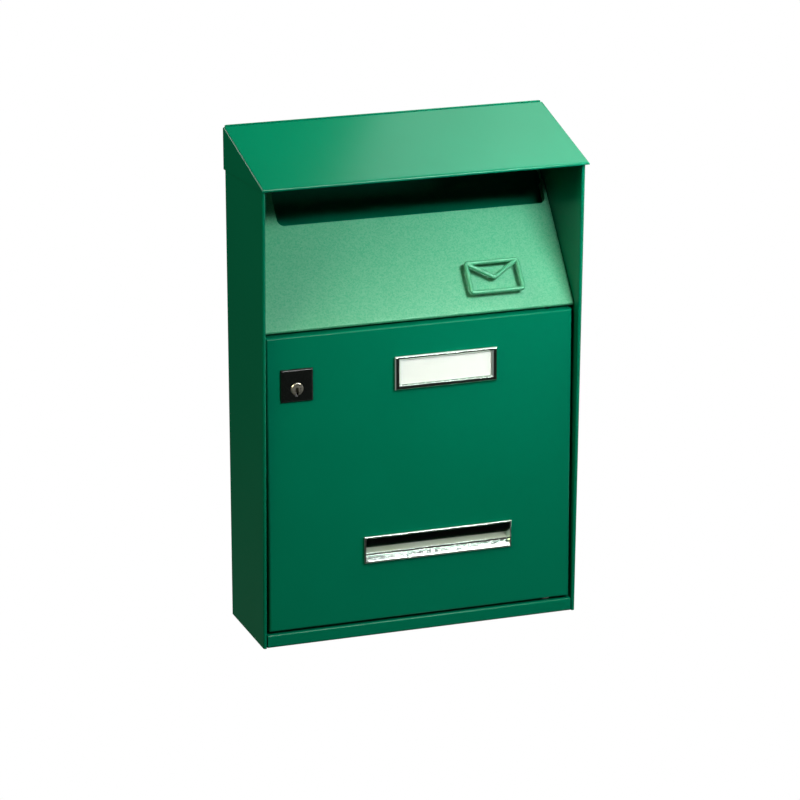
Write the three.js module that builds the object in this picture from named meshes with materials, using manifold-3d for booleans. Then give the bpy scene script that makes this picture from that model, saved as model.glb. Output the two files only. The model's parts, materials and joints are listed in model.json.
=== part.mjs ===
// Wall mounted letterbox of folded, spot-welded and painted sheet steel.
// A cap roof overhangs an inclined chute with the letter slot. Below it a door turns on two
// concealed pins at its right edge, and a cam lock at its left edge holds it behind a strike.
// The door carries a name holder and a viewing window.
//
// Millimetres. x runs to the right of a person facing the box, y towards the wall, z up.
// Inside this file heights are measured from the underside of the box and depths from the wall.
// The exported group is moved so that its origin is the middle of the four fixing holes, on the
// face that lies against the wall.
import * as THREE from "three";
import { mergeVertices } from "three/addons/utils/BufferGeometryUtils.js";
import Module from "manifold-3d";

// ---------------------------------------------------------------- driving dimensions

// Sheet metal and fits
const SHEET = 0.8; // thickness of the painted steel sheet
const BEND = 0.8; // inside radius of a bend
const SEAM = 0.3; // between two sheets that are welded together
const SEAT = 0.1; // between a fitted piece and the face it sits on
const SLIP = 0.3; // round a piece that passes through a hole
const BEND_STEPS = 6; // facets of a quarter bend

// Case
const CASE_WIDTH = 220; // over the two sides
const CASE_DEPTH = 82; // from the wall to the front edges of the sides, under the roof
const FOOT_DEPTH = 72; // the same at the underside, as these edges lean out
const CASE_HEIGHT = 337.2; // from the underside to the top of the roof at the wall
const HEM = 8; // sheet turned back inside each front edge
const HEM_GAP = 0.8; // left inside the hem
const FIXING_SPAN = 190; // between the fixing holes, across
const FIXING_LOW = 40; // lower fixing holes above the underside
const FIXING_DROP = 16.7; // upper fixing holes below the top of the door
const FIXING_BORE = 7; // diameter of a fixing hole

// Roof
const ROOF_FALL = 23.2; // from the wall to the roof's front edge
const ROOF_OVERHANG = 4; // past the front edges of the sides
const ROOF_LIP = 1.8; // turned down along the front
const ROOF_FLANGE = 29.2; // depth of its side flanges at the wall
const ROOF_TAIL = 14; // rear flange, turned down inside the back

// Bottom tray and its sill
const SILL_HEIGHT = 9.2;
const SILL_DEPTH = 14; // from the sill's face to the back of its ledge
const SILL_RETURN = 4; // turned down behind the ledge
const TRAY_FLANGE = 11; // turned up against the sides and the back
const TRAY_INSET = 3; // the tray's side flanges stop short of the back

// Door
const FACE_DEPTH = 72; // from the wall to the faces of the door and the sill
const DOOR_GAP = 2; // beside the door, to each hem
const DOOR_DROP = 125.5; // top of the door below the roof at the wall
const DOOR_LIFT = 1.8; // between the sill and the door
const DOOR_FLANGE = 12.8; // depth of the door's turned edges
const CORNER_SLIT = 0.6; // relief at each corner between two turned edges

// Chute panel with the letter slot
const CHUTE_GAP = 1.3; // between the door and the chute panel
const CHUTE_SETBACK = 2.5; // foot of the chute behind the door's face
const CHUTE_ANGLE = 51.2; // degrees, from level
const CHUTE_FLANGE = 10; // depth of its turned edges
const CHUTE_TAIL = 10; // turned up against the back
const SLOT_STRIP_LEFT = 28; // panel left beside the slot
const SLOT_STRIP_RIGHT = 2.6;
const SLOT_STRIP_TOP = 6.7; // panel left above the slot, along the slope
const SLOT_OPENING = 26; // along the slope
const SLOT_CORNER = 4.5; // radius

// Hinge pins
const PIN_INSET = 15; // pin axis from the door's right edge
const PIN_DEPTH = 8; // pin axis behind the door's face
const PIN_SHANK = 3.6;
const PIN_HEAD = 6.4;
const PIN_HEAD_HEIGHT = 1;
const PIN_ENGAGE = 2; // past the sheet that carries it
const WASHER_OUTER = 8;

// Name holder
const NAME_X = 16.8; // right of the door's middle
const NAME_DROP = 31.4; // below the top of the door
const NAME_WIDTH = 71.2;
const NAME_HEIGHT = 22.8;
const NAME_PROUD = 2.4; // in front of the door
const NAME_SIGHT_WIDTH = 63.4; // what shows of the card
const NAME_SIGHT_HEIGHT = 16.2;
const NAME_SIGHT_RISE = 0.5; // sight opening above the middle of the frame
const NAME_REBATE = 0.9; // how much wider the card's seat is, on each edge
const NAME_CARD = 0.3;
const NAME_COVER = 0.6;
const NAME_TOOTH_COUNT = 11;
const NAME_TOOTH_WIDTH = 4.3;
const NAME_TOOTH_HEIGHT = 0.9;
const NAME_PEG = 2.4; // diameter of the pegs through the door
const NAME_PEG_SPAN = 68.2;
const NAME_PEG_LENGTH = 5; // behind the frame's seat
const CLIP_OUTER = 9;
const CLIP_THICKNESS = 0.5;

// Viewing window
const WINDOW_X = 11.5; // right of the door's middle
const WINDOW_RISE = 49.9; // above the lower edge of the door
const WINDOW_WIDTH = 103.6;
const WINDOW_HEIGHT = 18.6;
const WINDOW_PROUD = 2;
const WINDOW_RIM = 1.2; // flat front edge of the frame
const WINDOW_REVEAL = 0.8; // slope of the frame's upper and end faces
const WINDOW_SILL = 4.2; // slope of the frame's lower face
const WINDOW_STEP = 1.2; // upright face between that slope and the collar's floor
const COLLAR_WALL = 1.1;
const COLLAR_LENGTH = 9.6; // behind the frame's seat
const PANE = 1.6;
const RETAINER_LAP = 4; // of the retainer over the door
const RETAINER = 1.4;

// Cam lock
const LOCK_INSET = 20.1; // from the door's left edge
const LOCK_DROP = 34.9; // below the top of the door
const LOCK_HEAD = 22; // side of the square head
const LOCK_HEAD_RISE = 2.3; // middle of the head above the lock's axis
const LOCK_PROUD = 1.8;
const LOCK_BODY = 17; // diameter of the body through the door
const LOCK_FLATS = 15; // across the flats of the body
const PLUG_HEAD = 8.4;
const PLUG_HEAD_DEPTH = 1.2;
const PLUG_CHAMFER = 0.4;
const PLUG_SHANK = 7.2;
const KEYWAY_WIDTH = 1.8;
const KEYWAY_RISE = 1.2; // top of the keyway above the axis
const KEYWAY_DEPTH = 9;
const TAIL_SQUARE = 5;
const CAM_REACH = 21.2; // from the axis to the tip
const CAM_HUB = 7;
const CAM_TIP = 4.5;
const CAM_THICKNESS = 2;
const CAM_SCREW = 3;
const CAM_SCREW_HEAD = 6;
const CAM_SCREW_RISE = 2; // height of its head
const CAM_SCREW_RECESS = [3.2, 0.6]; // length and width of each arm of its cross recess
const CAM_SCREW_LENGTH = 6;
const SPRING_WASHER = 0.8;
const SPRING_WASHER_OUTER = 9;
const NUT_ACROSS = 22;
const NUT_THICKNESS = 3;

// Strike on the left side
const STRIKE_SHEET = 1.2;
const STRIKE_HEIGHT = 26;
const STRIKE_LEG = 14; // along the side of the case
const STRIKE_REACH = 9; // into the case, in front of the cam

// ---------------------------------------------------------------- sizes that follow

const HALF_WIDTH = CASE_WIDTH / 2;
const CLEAR_HALF = HALF_WIDTH - SHEET; // inner face of a side
const FITTED_HALF = CLEAR_HALF - SEAM; // outer face of what is welded between the sides
const BEND_OUTER = BEND + SHEET;
const HEM_THICKNESS = 2 * SHEET + HEM_GAP;
const ROOF_REACH = CASE_DEPTH + ROOF_OVERHANG; // from the wall to the roof's front edge
const ROOF_SLOPE = Math.atan2(ROOF_FALL, ROOF_REACH);
const ROOF_HALF = HALF_WIDTH + SEAM + SHEET;
const EAVES = CASE_HEIGHT - CASE_DEPTH * Math.tan(ROOF_SLOPE); // height of the sides in front
const SIDE_LEAN = (CASE_DEPTH - FOOT_DEPTH) / EAVES; // of their front edges, per unit of height
const ROOF_UNDERSIDE = SHEET / Math.cos(ROOF_SLOPE) + SEAM; // below the roof's top face
const BACK_INNER = SHEET + SEAM; // from the wall to what is welded inside the back
const DOOR_TOP = CASE_HEIGHT - DOOR_DROP; // heights above the underside
const DOOR_FOOT = SILL_HEIGHT + DOOR_LIFT;
const DOOR_WIDTH = CASE_WIDTH - 2 * (HEM_THICKNESS + DOOR_GAP);
const DOOR_HEIGHT = DOOR_TOP - DOOR_FOOT;
const CHUTE_BASE = DOOR_TOP + CHUTE_GAP;
const CHUTE_FOOT = FACE_DEPTH - CHUTE_SETBACK; // in front of the wall
const CHUTE_SLOPE = THREE.MathUtils.degToRad(CHUTE_ANGLE);
const LOCK_X = LOCK_INSET - DOOR_WIDTH / 2;
const LOCK_Z = DOOR_HEIGHT - LOCK_DROP; // above the door's lower edge
const NAME_Z = DOOR_HEIGHT - NAME_DROP;
const PIN_X = DOOR_WIDTH / 2 - PIN_INSET;
const PIN_Y = PIN_DEPTH - FACE_DEPTH;
const PIN_BORE = PIN_SHANK + 2 * SLIP;
const WASHER_THICKNESS = DOOR_LIFT - 2 * SEAT;
const STRIKE_FRONT = DOOR_FLANGE + SLIP; // these four are behind the door's face
const STRIKE_REAR = STRIKE_FRONT + STRIKE_SHEET;
const CAM_FRONT = STRIKE_REAR + SLIP;
const LOCK_BODY_LENGTH = CAM_FRONT - SLIP;
const TAIL_END = CAM_FRONT + CAM_THICKNESS + SEAT;
const TRAY_SIDE_FRONT = FACE_DEPTH - SILL_DEPTH - SEAM;
const FIXING_HIGH = DOOR_TOP - FIXING_DROP;
const FIXING_MIDDLE = (FIXING_LOW + FIXING_HIGH) / 2;

// ---------------------------------------------------------------- materials

const finish = (color, roughness, metalness, opacity = 1) =>
  new THREE.MeshStandardMaterial({
    color,
    roughness,
    metalness,
    opacity,
    transparent: opacity < 1,
    flatShading: true,
  });
const paintedSteel = finish(0x0b7a55, 0.35, 0.1);
const zincSteel = finish(0xb9bcb8, 0.4, 0.9);
const chrome = finish(0xdfe3e6, 0.12, 1);
const blackPlastic = finish(0x0d1110, 0.3, 0);
const nylon = finish(0xe6e3da, 0.6, 0);
const clearPlastic = finish(0xdce9ea, 0.08, 0, 0.35);
const card = finish(0xf7f7f4, 0.8, 0);

// ---------------------------------------------------------------- joining and cutting

const wasm = await Module();
wasm.setup();

function toSolid(geometry) {
  const bare = geometry.index ? geometry.toNonIndexed() : geometry.clone();
  bare.deleteAttribute("normal");
  bare.deleteAttribute("uv");
  const merged = mergeVertices(bare, 1e-4);
  return new wasm.Manifold(
    new wasm.Mesh({
      numProp: 3,
      vertProperties: new Float32Array(merged.attributes.position.array),
      triVerts: new Uint32Array(merged.index.array),
    }),
  );
}

function toGeometry(solid) {
  const mesh = solid.getMesh();
  const geometry = new THREE.BufferGeometry();
  geometry.setAttribute("position", new THREE.BufferAttribute(mesh.vertProperties, 3));
  geometry.setIndex(new THREE.BufferAttribute(mesh.triVerts, 1));
  geometry.computeVertexNormals();
  return geometry;
}

function combine(operation, first, rest) {
  let solid = toSolid(first);
  for (const geometry of rest) solid = solid[operation](toSolid(geometry));
  return toGeometry(solid);
}
const join = (first, ...rest) => combine("add", first, rest);
const cut = (first, ...rest) => combine("subtract", first, rest);
const common = (first, ...rest) => combine("intersect", first, rest);

function mesh(name, geometry, material) {
  const made = new THREE.Mesh(geometry, material);
  made.name = name;
  return made;
}

function group(x, y, z, ...children) {
  const made = new THREE.Group();
  made.position.set(x, y, z);
  made.add(...children);
  return made;
}

// ---------------------------------------------------------------- outlines

// A corner of an outline as an arc that touches the edges before and after it.
function cornerArc(before, corner, after, radius, steps = BEND_STEPS) {
  if (!radius) return [corner];
  const into = corner.clone().sub(before).normalize();
  const out = after.clone().sub(corner).normalize();
  const turn = Math.atan2(into.cross(out), into.dot(out));
  const normal = new THREE.Vector2(-into.y, into.x).multiplyScalar(Math.sign(turn));
  const start = corner.clone().addScaledVector(into, -radius * Math.tan(Math.abs(turn) / 2));
  const centre = start.clone().addScaledVector(normal, radius);
  const arc = [];
  for (let step = 0; step <= steps; step++) {
    arc.push(start.clone().rotateAround(centre, (turn * step) / steps));
  }
  return arc;
}

// Closed outline whose corners are rounded, each by its own radius.
function roundedShape(points, radii, steps) {
  const corners = points.map(([x, y]) => new THREE.Vector2(x, y));
  const count = corners.length;
  return new THREE.Shape(
    corners.flatMap((corner, index) =>
      cornerArc(
        corners[(index + count - 1) % count],
        corner,
        corners[(index + 1) % count],
        radii[index],
        steps,
      ),
    ),
  );
}

// Moves each edge of a convex, anticlockwise outline inwards by its own distance.
function insetPoints(points, distances) {
  const count = points.length;
  const edges = points.map(([x, y], index) => {
    const [nextX, nextY] = points[(index + 1) % count];
    const along = new THREE.Vector2(nextX - x, nextY - y).normalize();
    const inwards = new THREE.Vector2(-along.y, along.x);
    return { at: new THREE.Vector2(x, y).addScaledVector(inwards, distances[index]), along };
  });
  return edges.map((edge, index) => {
    const previous = edges[(index + count - 1) % count];
    const offset = edge.at.clone().sub(previous.at);
    const reach = offset.cross(edge.along) / previous.along.cross(edge.along);
    const crossing = previous.at.clone().addScaledVector(previous.along, reach);
    return [crossing.x, crossing.y];
  });
}

// Outline of a sheet of even thickness whose middle follows a folded line. Each point of the
// line is [x, y] or [x, y, radius of the middle line].
function sheetShape(line, thickness = SHEET) {
  const points = line.map(([x, y]) => new THREE.Vector2(x, y));
  const last = points.length - 1;
  const middle = points.flatMap((point, index) =>
    index === 0 || index === last
      ? [point]
      : cornerArc(
          points[index - 1],
          point,
          points[index + 1],
          line[index][2] ?? BEND + thickness / 2,
        ),
  );
  const spaced = middle.filter((point, index) => !index || point.distanceTo(middle[index - 1]) > 1e-6);
  const side = (index, sign) => {
    const before = spaced[Math.max(index - 1, 0)];
    const here = spaced[index];
    const after = spaced[Math.min(index + 1, spaced.length - 1)];
    const into = here.clone().sub(before);
    const out = after.clone().sub(here);
    const tangent = into.normalize().add(out.normalize()).normalize();
    const half = thickness / 2 / Math.cos(halfTurn(before, here, after));
    return here.clone().add(new THREE.Vector2(-tangent.y, tangent.x).multiplyScalar(sign * half));
  };
  const left = spaced.map((_, index) => side(index, 1));
  const right = spaced.map((_, index) => side(index, -1));
  return new THREE.Shape([...left, ...right.reverse()]);
}

// Half of the angle by which a line turns at a point.
function halfTurn(before, here, after) {
  const into = here.clone().sub(before);
  const out = after.clone().sub(here);
  if (!into.length() || !out.length()) return 0;
  return Math.abs(Math.atan2(into.cross(out), into.dot(out))) / 2;
}

const flatShape = (points) => new THREE.Shape(points.map(([x, y]) => new THREE.Vector2(x, y)));

function rectangle(left, bottom, right, top) {
  return [
    [left, bottom],
    [right, bottom],
    [right, top],
    [left, top],
  ];
}

// ---------------------------------------------------------------- prisms and rods

const extrude = (shape, depth, curveSegments = 24) =>
  new THREE.ExtrudeGeometry(shape, { depth, bevelEnabled: false, curveSegments });

// The outline lies in y and z and is drawn out along x.
function prismX(shape, from, to) {
  const turned = new THREE.Matrix4().makeBasis(
    new THREE.Vector3(0, 1, 0),
    new THREE.Vector3(0, 0, 1),
    new THREE.Vector3(1, 0, 0),
  );
  return extrude(shape, to - from).applyMatrix4(turned).translate(from, 0, 0);
}

// The outline lies in x and z and is drawn out along y.
function prismY(shape, from, to) {
  return extrude(shape, to - from)
    .rotateX(Math.PI / 2)
    .translate(0, to, 0);
}

// The outline lies in x and y and is drawn out along z.
function prismZ(shape, from, to) {
  return extrude(shape, to - from).translate(0, 0, from);
}

const block = (x, y, z) =>
  new THREE.BoxGeometry(x[1] - x[0], y[1] - y[0], z[1] - z[0]).translate(
    (x[0] + x[1]) / 2,
    (y[0] + y[1]) / 2,
    (z[0] + z[1]) / 2,
  );

// A turned piece about the y axis: pairs of radius and y, from the axis and back to it.
function turnedY(profile, segments = 32) {
  const points = profile.map(([radius, y]) => new THREE.Vector2(radius, y));
  return new THREE.LatheGeometry(points, segments);
}

const rodY = (diameter, from, to, segments = 32) =>
  new THREE.CylinderGeometry(diameter / 2, diameter / 2, to - from, segments).translate(
    0,
    (from + to) / 2,
    0,
  );

const rodZ = (diameter, from, to, segments = 24) =>
  new THREE.CylinderGeometry(diameter / 2, diameter / 2, to - from, segments)
    .rotateX(Math.PI / 2)
    .translate(0, 0, (from + to) / 2);

// Block that tapers along y: `front` and `rear` are [left, bottom, right, top].
function taperedY(front, rear, from, to) {
  const geometry = new THREE.BoxGeometry(1, 1, 1);
  const position = geometry.attributes.position;
  for (let index = 0; index < position.count; index++) {
    const [left, bottom, right, top] = position.getY(index) < 0 ? front : rear;
    position.setXYZ(
      index,
      position.getX(index) < 0 ? left : right,
      position.getY(index) < 0 ? from : to,
      position.getZ(index) < 0 ? bottom : top,
    );
  }
  return geometry;
}

// A pan folded from one sheet: a plate at z = 0 with its edges turned down. `across` is the
// outline in x and z, `along` the outline in y and z; both start at a corner of the plate and
// run anticlockwise, and `open` says whether the last edge of `along` has no turned edge.
function foldedPan(across, along, open = false) {
  const beyond = -1; // the inside runs out past the turned edges
  const outer = common(
    prismYFrom(across, [BEND_OUTER, 0, 0, BEND_OUTER], along),
    prismXFrom(along, [BEND_OUTER, 0, 0, open ? 0 : BEND_OUTER], across),
  );
  const innerAcross = insetPoints(across, [SHEET, beyond, SHEET, SHEET]);
  const innerAlong = insetPoints(along, [SHEET, beyond, open ? beyond : SHEET, SHEET]);
  const inner = common(
    prismYFrom(innerAcross, [BEND, 0, 0, BEND], along),
    prismXFrom(innerAlong, [BEND, 0, 0, open ? 0 : BEND], across),
  );
  return cut(outer, inner);
}
const PAST = 5; // how far a prism of one outline runs past the other
function prismYFrom(outline, radii, other) {
  const ys = other.map(([y]) => y);
  return prismY(roundedShape(outline, radii), Math.min(...ys) - PAST, Math.max(...ys) + PAST);
}
function prismXFrom(outline, radii, other) {
  const xs = other.map(([x]) => x);
  return prismX(roundedShape(outline, radii), Math.min(...xs) - PAST, Math.max(...xs) + PAST);
}

// ---------------------------------------------------------------- case

// Height of the roof's top face at a depth in front of the wall.
const roofHeight = (depth) => CASE_HEIGHT - depth * Math.tan(ROOF_SLOPE);

// Back and sides folded from one sheet, with hemmed front edges that lean out towards the roof,
// and four fixing holes. The sides end under the roof, and the top of the back stands level
// with its rear edge.
function caseWrap() {
  const side = HALF_WIDTH - SHEET / 2;
  const hemRadius = (HEM_GAP + SHEET) / 2;
  const leaf = side - 2 * hemRadius;
  const nose = -FOOT_DEPTH + SHEET / 2;
  const hemEnd = -FOOT_DEPTH + HEM;
  const line = [
    [-leaf, hemEnd],
    [-leaf, nose, hemRadius],
    [-side, nose, hemRadius],
    [-side, -SHEET / 2],
    [side, -SHEET / 2],
    [side, nose, hemRadius],
    [leaf, nose, hemRadius],
    [leaf, hemEnd],
  ];
  const wrap = prismZ(sheetShape(line), 0, CASE_HEIGHT + PAST);
  const position = wrap.attributes.position;
  for (let index = 0; index < position.count; index++) {
    const y = position.getY(index);
    if (y < -FOOT_DEPTH / 2) position.setY(index, y - position.getZ(index) * SIDE_LEAN);
  }
  const behind = -SHEET - SEAM / 2; // between the back and the roof
  const beyond = CASE_DEPTH + PAST;
  const above = flatShape([
    [PAST, roofHeight(-PAST)],
    [PAST, CASE_HEIGHT + 2 * PAST],
    [-beyond, CASE_HEIGHT + 2 * PAST],
    [-beyond, roofHeight(beyond) - ROOF_UNDERSIDE],
    [behind, roofHeight(-behind) - ROOF_UNDERSIDE],
    [behind, roofHeight(-behind)],
  ]);
  const roofSpace = prismX(above, -HALF_WIDTH - PAST, HALF_WIDTH + PAST);
  const holes = [-1, 1].flatMap((across) =>
    [FIXING_LOW, FIXING_HIGH].map((z) =>
      rodY(FIXING_BORE, -PAST, PAST).translate((across * FIXING_SPAN) / 2, 0, z),
    ),
  );
  return mesh("case_wrap", cut(wrap, roofSpace, ...holes), paintedSteel);
}

// Cap with four turned edges: a lip in front, long tapering flanges outside the sides and a
// tail inside the back.
function roofCover() {
  const length = (ROOF_REACH - BACK_INNER) / Math.cos(ROOF_SLOPE);
  const deep = ROOF_FLANGE + PAST;
  const eave = CASE_HEIGHT - ROOF_FLANGE;
  const across = [
    [-ROOF_HALF, 0],
    [-ROOF_HALF, -deep],
    [ROOF_HALF, -deep],
    [ROOF_HALF, 0],
  ];
  // The front lip and the tail hang plumb, so they lean in the frame of the sloping plate.
  const plumb = [-deep * Math.tan(ROOF_SLOPE), -deep];
  const along = [
    [-length, 0],
    [-length + plumb[0], plumb[1]],
    [plumb[0], plumb[1]],
    [0, 0],
  ];
  const cap = foldedPan(across, along)
    .rotateX(ROOF_SLOPE)
    .translate(0, -BACK_INNER, roofHeight(BACK_INNER));
  const lipEnd = roofHeight(ROOF_REACH) - ROOF_LIP;
  const underEaves = flatShape([
    [0, eave],
    [-ROOF_REACH, lipEnd],
    [-ROOF_REACH - PAST, lipEnd],
    [-ROOF_REACH - PAST, eave - deep],
    [PAST, eave - deep],
    [PAST, eave],
  ]);
  const flangeInner = ROOF_HALF - SHEET;
  const tailHalf = FITTED_HALF - BEND_OUTER;
  const underTail = block(
    [-flangeInner, flangeInner],
    [-BACK_INNER - BEND_OUTER, PAST],
    [eave - deep, CASE_HEIGHT - ROOF_TAIL],
  );
  // Beside the tail the plate runs on over the top edges of the sides.
  const plateBase = (depth) => roofHeight(depth) - SHEET / Math.cos(ROOF_SLOPE);
  const tailFront = BACK_INNER + BEND_OUTER + SEAM;
  const besideTail = flatShape([
    [PAST, eave - deep],
    [PAST, plateBase(-PAST)],
    [-tailFront, plateBase(tailFront)],
    [-tailFront, eave - deep],
  ]);
  return mesh(
    "roof_cover",
    cut(
      cap,
      prismX(underEaves, -ROOF_HALF - PAST, ROOF_HALF + PAST),
      underTail,
      prismX(besideTail, -flangeInner, -tailHalf),
      prismX(besideTail, tailHalf, flangeInner),
    ),
    paintedSteel,
  );
}

// Floor with a box-section sill in front, and flanges turned up against the sides and back.
function bottomTray() {
  const middle = SHEET / 2;
  const back = -BACK_INNER - middle;
  const ledge = SILL_HEIGHT - middle;
  const profile = [
    [back, TRAY_FLANGE],
    [back, middle],
    [-FACE_DEPTH + middle, middle],
    [-FACE_DEPTH + middle, ledge],
    [-FACE_DEPTH + SILL_DEPTH - middle, ledge],
    [-FACE_DEPTH + SILL_DEPTH - middle, ledge - SILL_RETURN],
  ];
  const half = FITTED_HALF - BEND_OUTER - CORNER_SLIT / 2;
  const floor = prismX(sheetShape(profile), -half, half);
  const flange = FITTED_HALF - middle;
  const upturned = [
    [-flange, TRAY_FLANGE],
    [-flange, middle],
    [flange, middle],
    [flange, TRAY_FLANGE],
  ];
  const sides = prismY(sheetShape(upturned), -TRAY_SIDE_FRONT, -TRAY_INSET);
  const bore = rodZ(PIN_BORE, SILL_HEIGHT - 2 * SHEET, SILL_HEIGHT + PAST).translate(PIN_X, PIN_Y, 0);
  return mesh("bottom_tray", cut(join(floor, sides), bore), paintedSteel);
}

// Inclined panel over the door. The letter slot is cut near its top, its foot turns in over the
// door and carries the upper hinge pin, and its tail turns up against the back.
function chutePanel() {
  const rise = Math.sin(CHUTE_SLOPE);
  const run = Math.cos(CHUTE_SLOPE);
  const length = (CHUTE_FOOT - BACK_INNER - SHEET / 2) / run;
  const across = [
    [-FITTED_HALF, 0],
    [-FITTED_HALF, -CHUTE_FLANGE],
    [FITTED_HALF, -CHUTE_FLANGE],
    [FITTED_HALF, 0],
  ];
  const deep = CHUTE_FLANGE + PAST;
  const tailRoom = (BEND_OUTER + CHUTE_FLANGE * rise) / run; // keeps the side flanges off the back
  const along = [
    [0, 0],
    [(deep * run) / rise, -deep],
    [length - tailRoom, -deep],
    [length - tailRoom, 0],
  ];
  const pan = foldedPan(across, along, true);
  const middle = -SHEET / 2;
  const tailFoot = length - (SHEET / 2) * (rise / run);
  const tail = prismX(
    sheetShape([
      [length - tailRoom - PAST, middle],
      [tailFoot, middle],
      [tailFoot + CHUTE_TAIL * rise, middle + CHUTE_TAIL * run],
    ]),
    -FITTED_HALF + BEND_OUTER,
    FITTED_HALF - BEND_OUTER,
  );
  const slotTop = length - SLOT_STRIP_TOP;
  const slot = roundedShape(
    rectangle(
      -FITTED_HALF + SLOT_STRIP_LEFT,
      slotTop - SLOT_OPENING,
      FITTED_HALF - SLOT_STRIP_RIGHT,
      slotTop,
    ),
    [SLOT_CORNER, SLOT_CORNER, SLOT_CORNER, SLOT_CORNER],
    6,
  );
  const slotSpace = prismZ(slot, -PAST, PAST);
  const inclined = cut(join(pan, tail), slotSpace)
    .rotateX(CHUTE_SLOPE)
    .translate(0, -CHUTE_FOOT, CHUTE_BASE);
  const bore = rodZ(PIN_BORE, CHUTE_BASE - PAST, CHUTE_BASE + BEND_OUTER).translate(PIN_X, PIN_Y, 0);
  return mesh("chute_panel", cut(inclined, bore), paintedSteel);
}

// Angle welded inside the left side. The door's turned edge closes on its front and the lock's
// cam turns in behind it.
function lockStrike() {
  const wallLeg = -CLEAR_HALF + SEAM + STRIKE_SHEET / 2;
  const leg = -FACE_DEPTH + STRIKE_REAR - STRIKE_SHEET / 2;
  const line = [
    [wallLeg, leg + STRIKE_LEG],
    [wallLeg, leg],
    [wallLeg + STRIKE_REACH, leg],
  ];
  const middle = DOOR_FOOT + LOCK_Z;
  const angle = prismZ(
    sheetShape(line, STRIKE_SHEET),
    middle - STRIKE_HEIGHT / 2,
    middle + STRIKE_HEIGHT / 2,
  );
  return mesh("lock_strike", angle, zincSteel);
}

// ---------------------------------------------------------------- door
// In the door's group x = 0 is the middle of the door, y = 0 its face and z = 0 its lower edge.

const sightRing = (width, height, rise) => [
  -width / 2,
  rise - height / 2,
  width / 2,
  rise + height / 2,
];

// The round body of the lock with its two flats, `extra` larger all round.
function lockBody(from, to, extra = 0) {
  const reach = LOCK_FLATS / 2 + extra;
  const flats = block([-reach, reach], [from, to], [-LOCK_BODY, LOCK_BODY]);
  return common(rodY(LOCK_BODY + 2 * extra, from - PAST, to + PAST), flats);
}

const windowHole = [
  WINDOW_WIDTH / 2 - WINDOW_RIM - WINDOW_REVEAL + COLLAR_WALL,
  -WINDOW_HEIGHT / 2 + WINDOW_RIM + WINDOW_SILL - COLLAR_WALL,
  WINDOW_HEIGHT / 2 - WINDOW_RIM - WINDOW_REVEAL + COLLAR_WALL,
]; // half width, bottom and top of the collar's outside

function collarBlock(extra, from, to) {
  const [half, bottom, top] = windowHole;
  return block([-half - extra, half + extra], [from, to], [bottom - extra, top + extra]);
}

// Door pan with its cut-outs.
function doorPanel() {
  const half = DOOR_WIDTH / 2;
  const across = [
    [-half, 0],
    [-half, -DOOR_FLANGE],
    [half, -DOOR_FLANGE],
    [half, 0],
  ];
  const along = [
    [0, 0],
    [0, -DOOR_FLANGE],
    [DOOR_HEIGHT, -DOOR_FLANGE],
    [DOOR_HEIGHT, 0],
  ];
  // The pan's plate faces up, so it is stood upright: its y becomes z and its face looks out.
  const pan = foldedPan(across, along).rotateX(Math.PI / 2);
  const slits = [-1, 1].flatMap((sideways) =>
    [-1, 1].map((up) => {
      const x = sideways * (half - BEND_OUTER - CORNER_SLIT / 2);
      const z = up > 0 ? DOOR_HEIGHT : 0;
      return block(
        [x - CORNER_SLIT / 2, x + CORNER_SLIT / 2],
        [BEND_OUTER, DOOR_FLANGE + PAST],
        [z - BEND_OUTER, z + BEND_OUTER],
      );
    }),
  );
  const lockHole = lockBody(-PAST, PAST, SLIP).translate(LOCK_X, 0, LOCK_Z);
  const pegHoles = [-1, 1].map((sideways) =>
    rodY(NAME_PEG + 2 * SLIP, -PAST, PAST, 24).translate(
      NAME_X + (sideways * NAME_PEG_SPAN) / 2,
      0,
      NAME_Z,
    ),
  );
  const windowCut = collarBlock(SLIP, -PAST, PAST).translate(WINDOW_X, 0, WINDOW_RISE);
  const pinHoles = rodZ(PIN_BORE, -PAST, DOOR_HEIGHT + PAST).translate(PIN_X, PIN_DEPTH, 0);
  return mesh(
    "door_panel",
    cut(pan, ...slits, lockHole, ...pegHoles, windowCut, pinHoles),
    paintedSteel,
  );
}

// Headed pin that stands through a turned edge of the door into the case.
function hingePin(name, length) {
  const profile = [
    [0, 0],
    [PIN_HEAD / 2, 0],
    [PIN_HEAD / 2, PIN_HEAD_HEIGHT],
    [PIN_SHANK / 2, PIN_HEAD_HEIGHT],
    [PIN_SHANK / 2, PIN_HEAD_HEIGHT + length - SHEET / 2],
    [PIN_SHANK / 2 - SHEET / 2, PIN_HEAD_HEIGHT + length],
    [0, PIN_HEAD_HEIGHT + length],
  ];
  return mesh(name, turnedY(profile, 24).rotateX(Math.PI / 2), zincSteel);
}

function hingePins() {
  const upper = hingePin("hinge_pin_top", SEAT + SHEET + CHUTE_GAP + SHEET + PIN_ENGAGE);
  upper.position.set(PIN_X, PIN_DEPTH, DOOR_HEIGHT - SHEET - SEAT - PIN_HEAD_HEIGHT);
  const lower = hingePin("hinge_pin_bottom", SEAT + SHEET + DOOR_LIFT + SHEET + PIN_ENGAGE);
  lower.rotation.x = Math.PI;
  lower.position.set(PIN_X, PIN_DEPTH, SHEET + SEAT + PIN_HEAD_HEIGHT);
  return [upper, lower];
}

// Nylon washer on the lower pin, which carries the door on the sill.
function hingeWasher() {
  const ring = cut(
    rodZ(WASHER_OUTER, 0, WASHER_THICKNESS),
    rodZ(PIN_BORE, -PAST, WASHER_THICKNESS + PAST),
  );
  const washer = mesh("hinge_washer", ring, nylon);
  washer.position.set(PIN_X, PIN_DEPTH, -SEAT - WASHER_THICKNESS);
  return washer;
}

// ---------------------------------------------------------------- name holder
// x = 0 and z = 0 are the middle of the frame, y = 0 is the door's face.

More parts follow.
